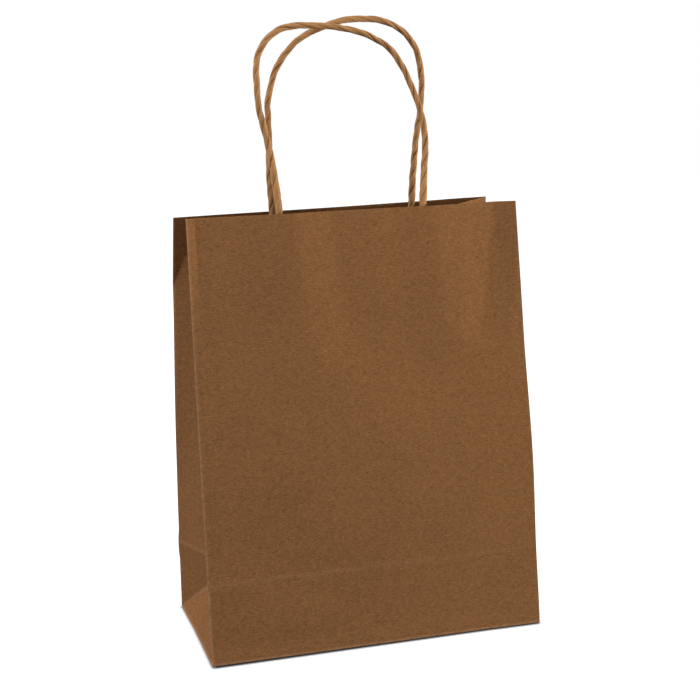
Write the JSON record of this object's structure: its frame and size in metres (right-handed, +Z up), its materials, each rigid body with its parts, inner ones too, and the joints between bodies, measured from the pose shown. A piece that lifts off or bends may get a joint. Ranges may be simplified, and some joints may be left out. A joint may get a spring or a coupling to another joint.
{
  "type": "twisted-handle paper carrier bag",
  "caption": "Open-topped kraft paper carrier bag with folded side gussets, a glued block bottom and twisted paper cord handles glued inside the mouth.",
  "frame": {"origin": "under the middle of the base, on the surface the bag stands on", "axes": "+Z up, +X to the right along the front panel, front panel faces -Y"},
  "size_m": [0.2104, 0.1104, 0.3844],
  "materials": {
    "kraft_paper": "matte uncoated brown kraft paper with fine fibre mottle",
    "twisted_paper_cord": "matte brown paper twisted hard into a three-lobed cord"
  },
  "bodies": {
    "root": {"bag_body": "kraft_paper", "front_handle": "twisted_paper_cord", "front_handle_backing": "kraft_paper", "front_handle_cover": "kraft_paper", "back_handle": "twisted_paper_cord", "back_handle_backing": "kraft_paper", "back_handle_cover": "kraft_paper"}
  },
  "joints": []
}
